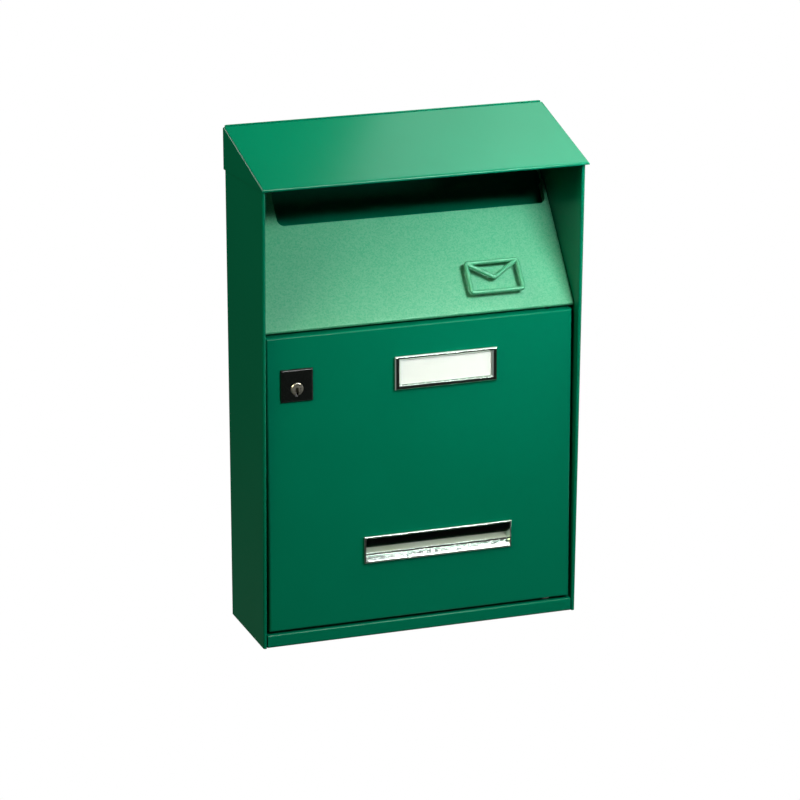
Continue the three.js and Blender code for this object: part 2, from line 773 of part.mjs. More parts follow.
const nameSight = sightRing(NAME_SIGHT_WIDTH, NAME_SIGHT_HEIGHT, NAME_SIGHT_RISE);
const nameSeat = sightRing(
  NAME_SIGHT_WIDTH + 2 * NAME_REBATE,
  NAME_SIGHT_HEIGHT + 2 * NAME_REBATE,
  NAME_SIGHT_RISE,
);
const nameSeatDepth = NAME_CARD + NAME_COVER + 3 * SEAT;

// Chromed frame with a bevelled sight edge, a row of teeth under the card and two pegs.
function nameFrame() {
  const [left, bottom, right, top] = nameSight;
  const flare = 1.2; // bevel round the sight opening
  const edge = 0.7; // bevel round the outside
  const outside = [-NAME_WIDTH / 2, -NAME_HEIGHT / 2, NAME_WIDTH / 2, NAME_HEIGHT / 2];
  const face = [outside[0] + edge, outside[1] + edge, outside[2] - edge, outside[3] - edge];
  const body = join(
    block([outside[0], outside[2]], [-NAME_PROUD + edge, -SEAT], [outside[1], outside[3]]),
    taperedY(face, outside, -NAME_PROUD, -NAME_PROUD + edge),
  );
  const sight = taperedY(
    [left - flare, bottom - flare, right + flare, top + flare],
    [left, bottom, right, top],
    -NAME_PROUD - SEAT,
    -nameSeatDepth,
  );
  const through = block([left, right], [-NAME_PROUD, PAST], [bottom, top]);
  const seat = block([nameSeat[0], nameSeat[2]], [-nameSeatDepth, PAST], [nameSeat[1], nameSeat[3]]);
  const pitch = NAME_SIGHT_WIDTH / NAME_TOOTH_COUNT;
  const gaps = Array.from({ length: NAME_TOOTH_COUNT }, (_, index) => {
    const middle = left + (index + 0.5) * pitch;
    return block(
      [middle - NAME_TOOTH_WIDTH / 2, middle + NAME_TOOTH_WIDTH / 2],
      [-NAME_PROUD - SEAT, -nameSeatDepth / 2],
      [bottom - NAME_TOOTH_HEIGHT, bottom + SEAT],
    );
  });
  const pegs = [-1, 1].map((sideways) =>
    rodY(NAME_PEG, -NAME_PROUD / 2, NAME_PEG_LENGTH, 24).translate((sideways * NAME_PEG_SPAN) / 2, 0, 0),
  );
  const ring = cut(body, sight, through, seat, ...gaps);
  return mesh("name_frame", join(ring, ...pegs), chrome);
}

// Paper card and clear cover, one on the other in the frame's seat.
function nameLayer(name, from, thickness, material) {
  const inset = SLIP;
  const layer = block(
    [nameSeat[0] + inset, nameSeat[2] - inset],
    [from - thickness, from],
    [nameSeat[1] + inset, nameSeat[3] - inset],
  );
  return mesh(name, layer, material);
}

// Spring push-on clip on a peg behind the door, with its inner edge slit into tongues.
function nameClip(name, sideways) {
  const disc = rodY(CLIP_OUTER, 0, CLIP_THICKNESS, 24);
  const bore = rodY(NAME_PEG + 2 * SLIP, -PAST, PAST, 24);
  const tongueSlit = 0.6;
  const slits = [0, 1].map((turn) =>
    block([-CLIP_OUTER / 3, CLIP_OUTER / 3], [-PAST, PAST], [-tongueSlit / 2, tongueSlit / 2]).rotateY(
      (turn * Math.PI) / 2,
    ),
  );
  const clip = mesh(name, cut(disc, bore, ...slits), zincSteel);
  clip.position.set((sideways * NAME_PEG_SPAN) / 2, SHEET + SEAT, 0);
  return clip;
}

function nameHolder() {
  return group(
    NAME_X,
    0,
    NAME_Z,
    nameFrame(),
    nameLayer("name_card", -SEAT, NAME_CARD, card),
    nameLayer("name_cover", -2 * SEAT - NAME_CARD, NAME_COVER, clearPlastic),
    nameClip("name_clip_left", -1),
    nameClip("name_clip_right", 1),
  );
}

// ---------------------------------------------------------------- viewing window
// x = 0 and z = 0 are the middle of the frame, y = 0 is the door's face.

// Chromed frame: a flat rim, a sloping sill with a step behind it, shallow reveals on the other
// three sides, and a deep collar that passes through the door and holds the pane at its end.
function windowFrame() {
  const half = WINDOW_WIDTH / 2;
  const tall = WINDOW_HEIGHT / 2;
  const edge = 0.5; // bevel round the outside
  const rim = join(
    block([-half, half], [-WINDOW_PROUD + edge, -SEAT], [-tall, tall]),
    taperedY(
      [-half + edge, -tall + edge, half - edge, tall - edge],
      [-half, -tall, half, tall],
      -WINDOW_PROUD,
      -WINDOW_PROUD + edge,
    ),
  );
  const collar = collarBlock(0, -WINDOW_PROUD / 2, COLLAR_LENGTH);
  const mouth = [-half + WINDOW_RIM, -tall + WINDOW_RIM, half - WINDOW_RIM, tall - WINDOW_RIM];
  const funnelEnd = [
    mouth[0] + WINDOW_REVEAL,
    mouth[1] + WINDOW_SILL,
    mouth[2] - WINDOW_REVEAL,
    mouth[3] - WINDOW_REVEAL,
  ];
  const throat = [funnelEnd[0], funnelEnd[1] + WINDOW_STEP, funnelEnd[2], funnelEnd[3]];
  const funnel = taperedY(mouth, funnelEnd, -WINDOW_PROUD - SEAT, SHEET);
  const bore = block([throat[0], throat[2]], [0, COLLAR_LENGTH + PAST], [throat[1], throat[3]]);
  const lip = (COLLAR_WALL * 2) / 3;
  const paneSeat = block(
    [throat[0] - lip, throat[2] + lip],
    [COLLAR_LENGTH - PANE - 2 * SEAT, COLLAR_LENGTH + PAST],
    [throat[1] - lip, throat[3] + lip],
  );
  const frame = mesh("window_frame", cut(join(rim, collar), funnel, bore, paneSeat), chrome);
  const fit = lip - SEAT;
  const pane = mesh(
    "window_pane",
    block(
      [throat[0] - fit, throat[2] + fit],
      [COLLAR_LENGTH - PANE - SEAT, COLLAR_LENGTH - SEAT],
      [throat[1] - fit, throat[3] + fit],
    ),
    clearPlastic,
  );
  return [frame, pane];
}

// Ring pressed over the collar behind the door.
function windowRetainer() {
  const [half, bottom, top] = windowHole;
  const ring = block(
    [-half - RETAINER_LAP, half + RETAINER_LAP],
    [0, RETAINER],
    [bottom - RETAINER_LAP, top + RETAINER_LAP],
  );
  const retainer = mesh("window_retainer", cut(ring, collarBlock(SEAT, -PAST, PAST)), blackPlastic);
  retainer.position.y = SHEET + SEAT;
  return retainer;
}

// ---------------------------------------------------------------- cam lock
// x = 0 and z = 0 are the lock's axis, y = 0 is the door's face.

// Housing in one piece: a square head in front of the door and a round body with two flats.
function lockHousing() {
  const half = LOCK_HEAD / 2;
  const edge = 0.8; // bevel round the head
  const low = LOCK_HEAD_RISE - half;
  const high = LOCK_HEAD_RISE + half;
  const head = join(
    block([-half, half], [-LOCK_PROUD + edge, -SEAT], [low, high]),
    taperedY(
      [-half + edge, low + edge, half - edge, high - edge],
      [-half, low, half, high],
      -LOCK_PROUD,
      -LOCK_PROUD + edge,
    ),
  );
  const body = lockBody(-LOCK_PROUD / 2, LOCK_BODY_LENGTH);
  const counterbore = rodY(PLUG_HEAD + 2 * SLIP, -LOCK_PROUD - PAST, -LOCK_PROUD + PLUG_HEAD_DEPTH + SEAT);
  const bore = rodY(PLUG_SHANK + 2 * SLIP, -LOCK_PROUD - PAST, LOCK_BODY_LENGTH + PAST);
  return mesh("lock_housing", cut(join(head, body), counterbore, bore), blackPlastic);
}

// Hexagonal nut that draws the housing's head against the door.
function lockNut() {
  const corners = NUT_ACROSS / Math.cos(Math.PI / 6);
  const blank = new THREE.CylinderGeometry(corners / 2, corners / 2, NUT_THICKNESS, 6);
  const nut = mesh(
    "lock_nut",
    cut(blank, rodY(LOCK_BODY + 2 * SLIP, -PAST, NUT_THICKNESS + PAST)),
    zincSteel,
  );
  nut.position.y = SHEET + SEAT + NUT_THICKNESS / 2;
  return nut;
}

// Turning plug: a head with the keyway in front, a shank, and a square tail bored for the screw.
function lockPlug() {
  const front = -LOCK_PROUD - SEAT * 3;
  const collar = -LOCK_PROUD + PLUG_HEAD_DEPTH;
  const plug = turnedY([
    [0, front],
    [PLUG_HEAD / 2 - PLUG_CHAMFER, front],
    [PLUG_HEAD / 2, front + PLUG_CHAMFER],
    [PLUG_HEAD / 2, collar],
    [PLUG_SHANK / 2, collar],
    [PLUG_SHANK / 2, LOCK_BODY_LENGTH],
    [0, LOCK_BODY_LENGTH],
  ]);
  const half = TAIL_SQUARE / 2;
  const tail = block([-half, half], [LOCK_BODY_LENGTH / 2, TAIL_END], [-half, half]);
  const keyway = block(
    [-KEYWAY_WIDTH / 2, KEYWAY_WIDTH / 2],
    [front - PAST, front + KEYWAY_DEPTH],
    [-PLUG_HEAD, KEYWAY_RISE],
  );
  const screwHole = rodY(CAM_SCREW + 2 * SLIP, TAIL_END - CAM_SCREW_LENGTH - SLIP, TAIL_END + PAST, 24);
  return mesh("lock_plug", cut(join(plug, tail), keyway, screwHole), chrome);
}

// Steel cam on the square tail. It hangs straight down when the lock is open.
function lockCam() {
  const outline = new THREE.Shape();
  const lean = Math.asin((CAM_HUB - CAM_TIP) / (CAM_REACH - CAM_TIP));
  outline.absarc(0, 0, CAM_HUB, -lean, Math.PI + lean, false);
  outline.absarc(0, -CAM_REACH + CAM_TIP, CAM_TIP, Math.PI + lean, 2 * Math.PI - lean, false);
  const blank = prismY(outline, CAM_FRONT, CAM_FRONT + CAM_THICKNESS);
  const half = TAIL_SQUARE / 2 + SEAT * 2;
  const square = block([-half, half], [0, CAM_FRONT + PAST], [-half, half]);
  return mesh("lock_cam", cut(blank, square), zincSteel);
}

function camWasher() {
  const ring = cut(
    rodY(SPRING_WASHER_OUTER, 0, SPRING_WASHER, 24),
    rodY(CAM_SCREW + 2 * SLIP, -PAST, PAST, 24),
  );
  const washer = mesh("cam_washer", ring, zincSteel);
  washer.position.y = TAIL_END + SEAT;
  return washer;
}

// Round-headed screw into the plug's tail, with a cross recess.
function camScrew() {
  const seat = TAIL_END + 2 * SEAT + SPRING_WASHER;
  const screw = turnedY(
    [
      [0, seat - CAM_SCREW_LENGTH],
      [CAM_SCREW / 2, seat - CAM_SCREW_LENGTH],
      [CAM_SCREW / 2, seat],
      [CAM_SCREW_HEAD / 2, seat],
      [CAM_SCREW_HEAD / 2, seat + CAM_SCREW_RISE / 2],
      [CAM_SCREW_HEAD / 3, seat + CAM_SCREW_RISE],
      [0, seat + CAM_SCREW_RISE],
    ],
    24,
  );
  const [arm, width] = CAM_SCREW_RECESS.map((size) => size / 2);
  const depth = [seat + CAM_SCREW_RISE / 2, seat + PAST];
  const recess = [
    block([-arm, arm], depth, [-width, width]),
    block([-width, width], depth, [-arm, arm]),
  ];
  return mesh("cam_screw", cut(screw, ...recess), zincSteel);
}

// ---------------------------------------------------------------- assembly

const lock = group(
  LOCK_X,
  0,
  LOCK_Z,
  lockHousing(),
  lockNut(),
  lockPlug(),
  lockCam(),
  camWasher(),
  camScrew(),
);
const viewingWindow = group(WINDOW_X, 0, WINDOW_RISE, ...windowFrame(), windowRetainer());
const door = group(
  0,
  -FACE_DEPTH,
  DOOR_FOOT,
  doorPanel(),
  ...hingePins(),
  hingeWasher(),
  nameHolder(),
  viewingWindow,
  lock,
);
const letterbox = group(
  0,
  0,
  -FIXING_MIDDLE,
  caseWrap(),
  roofCover(),
  bottomTray(),
  chutePanel(),
  lockStrike(),
  door,
);

const part = new THREE.Group();
part.add(letterbox);
export default part;
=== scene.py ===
"""A wall mounted letterbox of folded, powder coated sheet steel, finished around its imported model."""

import json
import math

import bmesh
import bpy
from mathutils import Matrix, Vector


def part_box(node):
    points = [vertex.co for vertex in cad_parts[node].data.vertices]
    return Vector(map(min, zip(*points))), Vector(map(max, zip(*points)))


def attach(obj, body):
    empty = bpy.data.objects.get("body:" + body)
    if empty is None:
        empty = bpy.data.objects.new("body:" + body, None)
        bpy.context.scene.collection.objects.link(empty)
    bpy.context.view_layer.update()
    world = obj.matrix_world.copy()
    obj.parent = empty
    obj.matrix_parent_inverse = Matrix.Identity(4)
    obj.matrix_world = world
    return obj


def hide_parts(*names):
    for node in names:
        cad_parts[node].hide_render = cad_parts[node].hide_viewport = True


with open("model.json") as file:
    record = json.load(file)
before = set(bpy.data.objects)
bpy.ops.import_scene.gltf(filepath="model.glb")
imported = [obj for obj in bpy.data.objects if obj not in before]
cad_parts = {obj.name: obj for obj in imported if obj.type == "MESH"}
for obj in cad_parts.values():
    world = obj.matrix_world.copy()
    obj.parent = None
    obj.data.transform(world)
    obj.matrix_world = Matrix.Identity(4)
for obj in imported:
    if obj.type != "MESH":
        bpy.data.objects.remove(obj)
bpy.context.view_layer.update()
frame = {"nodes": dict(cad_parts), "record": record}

# ------------------------------------------------------------------------------------ camera
# A long lens to the left of the box and a little above it, as a catalogue picture is taken.

LENS = 166.5  # mm
SENSOR = 36  # mm
CAMERA_AT = Vector((-0.7788, -2.2495, 0.7560))
CAMERA_RIGHT = Vector((0.9434, -0.3318, -0.0022))
CAMERA_AHEAD = Vector((0.3164, 0.9017, -0.2948))

camera = bpy.data.objects.new("camera", bpy.data.cameras.new("camera"))
bpy.context.scene.collection.objects.link(camera)
bpy.context.scene.camera = camera
camera.data.lens = LENS
camera.data.sensor_width = SENSOR
camera.data.clip_start = 0.05  # m
ahead = CAMERA_AHEAD.normalized()
right = (CAMERA_RIGHT - ahead * CAMERA_RIGHT.dot(ahead)).normalized()
turn = Matrix((right, right.cross(ahead), -ahead)).transposed()
camera.matrix_world = Matrix.Translation(CAMERA_AT) @ turn.to_4x4()

# ------------------------------------------------------------------- case of folded steel sheet
# Back and sides in one sheet, roof, tray and chute. They are cut, folded on a brake, spot welded
# and then powder coated together, so every cut edge is rounded a little by the film.

MM = 0.001
FILM_EDGE = 0.16 * MM  # rounding of a coated sheet edge
FACET_LIMIT = math.radians(32)  # bends are made of facets that turn by less than this
FLAT = math.radians(0.4)  # faces that turn by less than this are one face
SAME_CORNER = 0.002 * MM  # corners nearer than this are one corner
FRONT_HEM = 0.9 * MM  # rounding of the folds along the front of the sides
HEM_LENGTH = 60 * MM  # those folds are longer than this
HEM_REACH = 17 * MM  # and lie within this of the case's front
STEEP = 0.9  # an upright edge rises by more than this share of its length
EVEN = (1.0, 1.0, 1.0)  # a pattern that is as long as it is wide
PATTERN_LOW, PATTERN_HIGH = 0.3, 0.7  # a random pattern seldom leaves this range
BUMP_STRENGTH = 0.5
COAT_UNEVEN = 0.04  # a coat's roughness differs from place to place by this, up and down


def body_of(part):
    """The name of the body that a CAD node belongs to."""
    bodies = frame["record"]["behaviour"]["bodies"]
    return next(body for body, parts in bodies.items() if part in parts)


def finished(part, edge, material, segments=2, folds=None, fold=0.0, reshape=None):
    """Stands a copy of a CAD node, its edges rounded and its bends smooth, in the node's place.
    Edges for which `folds` is true are rounded by `fold` metres instead of `edge`, and `reshape`
    may move the copy's corners first."""
    mesh = frame["nodes"][part].data.copy()
    shape = bmesh.new()
    shape.from_mesh(mesh)
    bmesh.ops.remove_doubles(shape, verts=shape.verts, dist=SAME_CORNER)
    bmesh.ops.dissolve_limit(shape, angle_limit=FLAT, verts=shape.verts, edges=shape.edges)
    if reshape:
        reshape(shape)
    widest = max(edge, fold)
    weight = shape.edges.layers.float.new("bevel_weight_edge")
    for line in shape.edges:
        if line.is_manifold and line.calc_face_angle() > FACET_LIMIT:
            line[weight] = (fold if folds and folds(line) else edge) / widest
    shape.to_mesh(mesh)
    shape.free()
    mesh.materials.clear()
    mesh.materials.append(material)
    rough = bpy.data.objects.new(f"{part}_rough", mesh)
    bpy.context.scene.collection.objects.link(rough)
    rounding = rough.modifiers.new("rounding", "BEVEL")
    rounding.limit_method = "WEIGHT"
    rounding.width = widest
    rounding.segments = segments
    rounding.miter_outer = "MITER_ARC"
    piece = evened(plain(rough, f"{part}_rounded"), f"{part}_finished")
    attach(piece, body_of(part))
    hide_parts(part)
    return piece


def plain(made, name):
    """Turns an object and its modifiers into a plain mesh object and removes the first."""
    evaluated = made.evaluated_get(bpy.context.evaluated_depsgraph_get())
    mesh = bpy.data.meshes.new_from_object(evaluated)
    piece = bpy.data.objects.new(name, mesh)
    bpy.context.scene.collection.objects.link(piece)
    bpy.data.objects.remove(made)
    return piece


def evened(rounded, name):
    """Shades the bends smooth while the flat faces beside them keep their own normals."""
    rounded.data.shade_smooth()
    rounded.data.set_sharp_from_angle(angle=FACET_LIMIT)
    normals = rounded.modifiers.new("normals", "WEIGHTED_NORMAL")
    normals.mode = "FACE_AREA"
    normals.weight = 100
    normals.keep_sharp = True
    return plain(rounded, name)


def linear(hex_colour):
    """An sRGB hex value as a linear colour with alpha."""
    parts = [int(hex_colour[i : i + 2], 16) / 255 for i in (1, 3, 5)]
    return [p / 12.92 if p <= 0.04045 else ((p + 0.055) / 1.055) ** 2.4 for p in parts] + [1]


def node(tree, kind, links=None, **settings):
    """Adds a node; links maps its inputs to outputs of other nodes or to plain values."""
    made = tree.nodes.new(kind)
    for key, value in settings.items():
        setattr(made, key, value)
    for key, value in (links or {}).items():
        socket = made.inputs[key]
        if isinstance(value, bpy.types.NodeSocket):
            tree.links.new(value, socket)
        else:
            socket.default_value = value
    return made


def surface(name, **sockets):
    """A new material with its tree and its Principled shader."""
    material = bpy.data.materials.new(name)
    material.use_nodes = True
    shader = material.node_tree.nodes["Principled BSDF"]
    for key, value in sockets.items():
        shader.inputs[key.replace("_", " ")].default_value = value
    return material, material.node_tree, shader


def patterned(name, tone, satin, peel=None, **sockets):
    """A material with up to three soft random patterns, each (patch size in metres, detail,
    stretch). `tone` is a pattern and the two sRGB colours it drifts between, `satin` a pattern
    and its least and greatest roughness, `peel` a pattern and its height in metres as bump."""
    material, tree, shader = surface(name, **sockets)
    place = node(tree, "ShaderNodeTexCoord").outputs["Object"]
    drawn = {}
    for pattern in dict.fromkeys(use[0] for use in (tone, satin, peel) if use):
        size, detail, stretch = pattern
        scaled = node(tree, "ShaderNodeMapping", {"Vector": place, "Scale": stretch})
        links = {"Vector": scaled.outputs["Vector"], "Scale": 1 / size, "Detail": detail}
        drawn[pattern] = node(tree, "ShaderNodeTexNoise", links).outputs["Fac"]
    if tone:
        pattern, first, second = tone
        links = {0: drawn[pattern], 6: linear(first), 7: linear(second)}
        drift = node(tree, "ShaderNodeMix", links, data_type="RGBA")
        tree.links.new(drift.outputs[2], shader.inputs["Base Color"])
    pattern, least, greatest = satin
    spread = node(
        tree,
        "ShaderNodeMapRange",
        {
            "Value": drawn[pattern],
            "From Min": PATTERN_LOW,
            "From Max": PATTERN_HIGH,
            "To Min": least,
            "To Max": greatest,
        },
    )
    tree.links.new(spread.outputs["Result"], shader.inputs["Roughness"])
    if peel:
        pattern, height = peel
        links = {"Strength": BUMP_STRENGTH, "Distance": height, "Height": drawn[pattern]}
        bump = node(tree, "ShaderNodeBump", links)
        tree.links.new(bump.outputs["Normal"], shader.inputs["Normal"])
    return material, tree, shader


def powder_coat(name, colours, grain, peel_depth, roughness, gloss, flakes=None):
    """Polyester powder coat, sprayed and baked: a film that drifts between two `colours`, with
    an orange peel of `grain` metres. `flakes` is the size in metres of the aluminium flakes in
    it and their share."""
    drift = (60 * MM, 2.0, EVEN)
    orange_peel = (grain, 4.0, EVEN)
    material, tree, shader = patterned(
        name,
        (drift, *colours),
        (orange_peel, roughness - COAT_UNEVEN, roughness + COAT_UNEVEN),
        (orange_peel, peel_depth),
        Specular_IOR_Level=gloss,
    )
    if flakes:
        size, share = flakes
        film = shader.inputs["Base Color"].links[0].from_socket
        place = node(tree, "ShaderNodeTexCoord").outputs["Object"]
        cells = node(tree, "ShaderNodeTexVoronoi", {"Vector": place, "Scale": 1 / size})
        draw = node(tree, "ShaderNodeSeparateColor", {"Color": cells.outputs["Color"]})
        flake = node(
            tree,
            "ShaderNodeMapRange",
            {"Value": draw.outputs["Red"], "To Min": 0.5 * share, "To Max": 1.5 * share},
        ).outputs["Result"]
        links = {0: flake, 6: film, 7: linear("#E6F4EA")}
        glinting = node(tree, "ShaderNodeMix", links, data_type="RGBA")
        tree.links.new(glinting.outputs[2], shader.inputs["Base Color"])
        tree.links.new(flake, shader.inputs["Metallic"])
    return material


# Smooth coat: a deep, even green with a satin shine that the shallow orange peel softens.
smooth_coat = powder_coat(
    "smooth green powder coat",
    ("#00664A", "#006B4F"),
    grain=1.4 * MM,
    peel_depth=0.01 * MM,
    roughness=0.2,
    gloss=0.12,
)
case_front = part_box("case_wrap")[0].y


def front_fold(line):
    """True for the long upright edges of the folds along the front of the case's sides."""
    start, end = (corner.co for corner in line.verts)
    length = (end - start).length
    steep = abs(end.z - start.z) > STEEP * length
    forward = max(start.y, end.y) < case_front + HEM_REACH
    return steep and length > HEM_LENGTH and forward


finished("case_wrap", FILM_EDGE, smooth_coat, segments=4, folds=front_fold, fold=FRONT_HEM)
finished("roof_cover", FILM_EDGE, smooth_coat)
finished("bottom_tray", FILM_EDGE, smooth_coat)

# ------------------------------------------------------------------------------- chute panel
# The inclined panel is sprayed with a coarser, sparkling powder, which hides finger marks
# where letters and hands rub. It is welded between the sides.

# Sparkling coat: a duller green, grained like fine sandpaper, in which flakes glint. Its green
# is painted paler than the smooth coat's, as painted light for the extra light that the
# upward-facing panel catches. Real flakes are about 0.05 mm across and are drawn fifteen times
# as coarse, so that they show.
sparkling_coat = powder_coat(
    "sparkling green powder coat",
    ("#00885A", "#009062"),
    grain=1.2 * MM,
    peel_depth=0.022 * MM,
    roughness=0.42,
    gloss=0.45,
    flakes=(0.75 * MM, 0.07),
)
finished("chute_panel", FILM_EDGE, sparkling_coat)

# ------------------------------------------------------------------------- embossed letter sign
# A plain envelope pressed into the chute panel from behind, so that it stands as a soft ridge
# in front. The panel is pressed before it is coated, and the ridge has the panel's finish.

SIGN_WIDTH = 36 * MM
SIGN_HEIGHT = 21 * MM
SIGN_FLAP = 11.5 * MM  # how far the flap's point hangs below the upper edge
SIGN_AT = Vector((56, 0, 118.5)) * MM  # its middle; its depth follows the panel
SIGN_RIDGE = 1.5 * MM  # radius of the pressed ridge
SIGN_SUNK = 0.75 * MM  # the ridge's middle line lies this far inside the sheet
SIGN_CORNER = 1.6 * MM  # radius of the sign's corners along the ridge's middle line
RIDGE_SIDES = 20  # faces round the ridge
CORNER_POINTS = 5  # points along each rounded corner
CHUTE_ANGLE = math.radians(51.2)  # from level, rising to the back

panel_out = Vector((0, -math.sin(CHUTE_ANGLE), math.cos(CHUTE_ANGLE)))
panel_up = Vector((0, math.cos(CHUTE_ANGLE), math.sin(CHUTE_ANGLE)))
panel_mesh = frame["nodes"]["chute_panel"].data
panel_reach = max(corner.co.dot(panel_out) for corner in panel_mesh.vertices)


def on_panel(across, upward):
    """A point of the panel's outer face, from the sign's middle, in metres."""
    point = SIGN_AT + Vector((across, 0, 0)) + panel_up * upward
    point += Vector((0, 1, 0)) * ((panel_reach - point.dot(panel_out)) / panel_out.y)
    return point - panel_out * SIGN_SUNK


def ridge_tree():
    """Geometry nodes: a round ridge along every line of the sign, with rounded corners."""
    tree = bpy.data.node_groups.new("pressed ridge", "GeometryNodeTree")
    tree.interface.new_socket("Lines", in_out="INPUT", socket_type="NodeSocketGeometry")
    tree.interface.new_socket("Radius", in_out="INPUT", socket_type="NodeSocketFloat")
    tree.interface.new_socket("Corner", in_out="INPUT", socket_type="NodeSocketFloat")
    tree.interface.new_socket("Finish", in_out="INPUT", socket_type="NodeSocketMaterial")
    tree.interface.new_socket("Ridge", in_out="OUTPUT", socket_type="NodeSocketGeometry")
    asked = node(tree, "NodeGroupInput")
    lines = node(tree, "GeometryNodeMeshToCurve", {"Mesh": asked.outputs["Lines"]})
    rounded = node(
        tree,
        "GeometryNodeFilletCurve",
        {"Curve": lines.outputs["Curve"], "Radius": asked.outputs["Corner"], "Count": CORNER_POINTS},
        mode="POLY",
    )
    section = node(
        tree,
        "GeometryNodeCurvePrimitiveCircle",
        {"Resolution": RIDGE_SIDES, "Radius": asked.outputs["Radius"]},
    )
    swept = node(
        tree,
        "GeometryNodeCurveToMesh",
        {
            "Curve": rounded.outputs["Curve"],
            "Profile Curve": section.outputs["Curve"],
            "Fill Caps": True,
        },
    )
    smooth = node(tree, "GeometryNodeSetShadeSmooth", {"Geometry": swept.outputs["Mesh"]})
    real = node(tree, "GeometryNodeRealizeInstances", {"Geometry": smooth.outputs["Geometry"]})
    coated = node(
        tree,
        "GeometryNodeSetMaterial",
        {"Geometry": real.outputs["Geometry"], "Material": asked.outputs["Finish"]},
    )
    node(tree, "NodeGroupOutput", {"Ridge": coated.outputs["Geometry"]})
    return tree


def socket_id(tree, name):
    """The identifier of one of a tree's sockets."""
    return next(item.identifier for item in tree.interface.items_tree if item.name == name)


half_width, half_height = SIGN_WIDTH / 2, SIGN_HEIGHT / 2
outline = [
    (-half_width, -half_height),
    (half_width, -half_height),
    (half_width, half_height),
    (-half_width, half_height),
]
flap = [
    (-half_width, half_height),
    (0, half_height - SIGN_FLAP),
    (half_width, half_height),
]
sign_mesh = bpy.data.meshes.new("letter_sign_lines")
sign_mesh.from_pydata(
    [on_panel(*point) for point in outline + flap],
    [(0, 1), (1, 2), (2, 3), (3, 0), (4, 5), (5, 6)],
    [],
)
sign_lines = bpy.data.objects.new("letter_sign_lines", sign_mesh)
bpy.context.scene.collection.objects.link(sign_lines)
ridge = sign_lines.modifiers.new("ridge", "NODES")
ridge.node_group = ridge_tree()
ridge[socket_id(ridge.node_group, "Radius")] = SIGN_RIDGE
ridge[socket_id(ridge.node_group, "Corner")] = SIGN_CORNER
ridge[socket_id(ridge.node_group, "Finish")] = sparkling_coat
letter_sign = plain(sign_lines, "letter_sign")
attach(letter_sign, body_of("chute_panel"))

# ------------------------------------------------------------------------------- door panel
# A pan of the same sheet with turned edges, punched for the lock, the name holder and the
# window, then coated as the case is. It hangs on two concealed pins.

finished("door_panel", FILM_EDGE, smooth_coat)

# ---------------------------------------------------------------------- zinc plated small parts
# Strike, clips, nut, cam, washer and screw: pressed or turned steel, zinc plated and clear
# passivated. Satin grey, with pale blotches where the bath has bitten unevenly.

ZINC_EDGE = 0.12 * MM

blotches = (3.5 * MM, 3.0, EVEN)
tumbled = (0.5 * MM, 3.0, EVEN)
zinc, _, _ = patterned(
    "zinc plated steel",
    (blotches, "#B4B9B8", "#D2D4CF"),
    (tumbled, 0.3, 0.48),
    (tumbled, 0.008 * MM),
    Metallic=1.0,
)
for name in (
    "lock_strike",
    "name_clip_left",
    "name_clip_right",
    "lock_nut",
    "lock_cam",
    "cam_washer",
    "cam_screw",
):
    finished(name, ZINC_EDGE, zinc)

# -------------------------------------------------------------------------------- hinge pins
# Turned steel pins, oiled black so that they don't show in the gap above the door. Dark blue
# grey with a dull shine and faint turning marks round them.

PIN_EDGE = 0.12 * MM

turning = (0.6 * MM, 3.0, (0.1, 0.1, 1.0))
black_steel, _, _ = patterned(
    "blackened steel", (turning, "#1E2224", "#2C3032"), (turning, 0.38, 0.55), Metallic=1.0
)
finished("hinge_pin_top", PIN_EDGE, black_steel)
finished("hinge_pin_bottom", PIN_EDGE, black_steel)

# ------------------------------------------------------------------------------ hinge washer
# A washer punched from natural nylon sheet and laid loose over the lower pin, so that the door
# turns on it. Milky and waxy, a little mottled.

WASHER_EDGE = 0.15 * MM

milk = (2.5 * MM, 2.0, EVEN)
nylon, _, _ = patterned(
    "natural nylon", (milk, "#DED9CB", "#EEEADF"), (milk, 0.42, 0.55), Specular_IOR_Level=0.5
)
finished("hinge_washer", WASHER_EDGE, nylon)

# ------------------------------------------------------------------------------ name holder
# A moulded frame, chromed, pegged through the door over a paper card and a clear cover. The
# chrome mirrors the room; the moulding under it is not quite flat, which bends the mirror.

FRAME_EDGE = 0.14 * MM  # rounding of the frame's inner edges
FRAME_RIM = 0.45 * MM  # rounding of the edges round its outside
RIM_MARGIN = 0.7 * MM  # edges nearer to its outline than this are outer ones
CARD_EDGE = 0.05 * MM
COVER_EDGE = 0.08 * MM

haze = (1.5 * MM, 3.0, EVEN)
wave = (9 * MM, 1.0, EVEN)
# The mint tint of the chrome tones is a painted reflection of the green around it.
chrome, _, _ = patterned(
    "chromed ABS",
    (haze, "#D2E6DA", "#E4F2E9"),
    (haze, 0.05, 0.12),
    (wave, 0.09 * MM),
    Metallic=1.0,
)


def outer_edge(line):
    """True for the edges round the outside of the frame's face."""
    low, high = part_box("name_frame")
    middle = (line.verts[0].co + line.verts[1].co) / 2
    sideways = min(middle.x - low.x, high.x - middle.x)
    upright = min(middle.z - low.z, high.z - middle.z)
    return min(sideways, upright) < RIM_MARGIN


finished("name_frame", FRAME_EDGE, chrome, segments=4, folds=outer_edge, fold=FRAME_RIM)

# Wood-free white card: bright, matt and faintly fibrous. The fibres are drawn ten times as
# coarse as real ones so that they show close up.
fibre = (0.3 * MM, 4.0, (0.35, 1.0, 1.0))
paper, _, _ = patterned(
    "uncoated card",
    (fibre, "#F8F8F4", "#FFFFFD"),
    (fibre, 0.8, 0.95),
    (fibre, 0.01 * MM),
    Specular_IOR_Level=0.2,
)
finished("name_card", CARD_EDGE, paper)

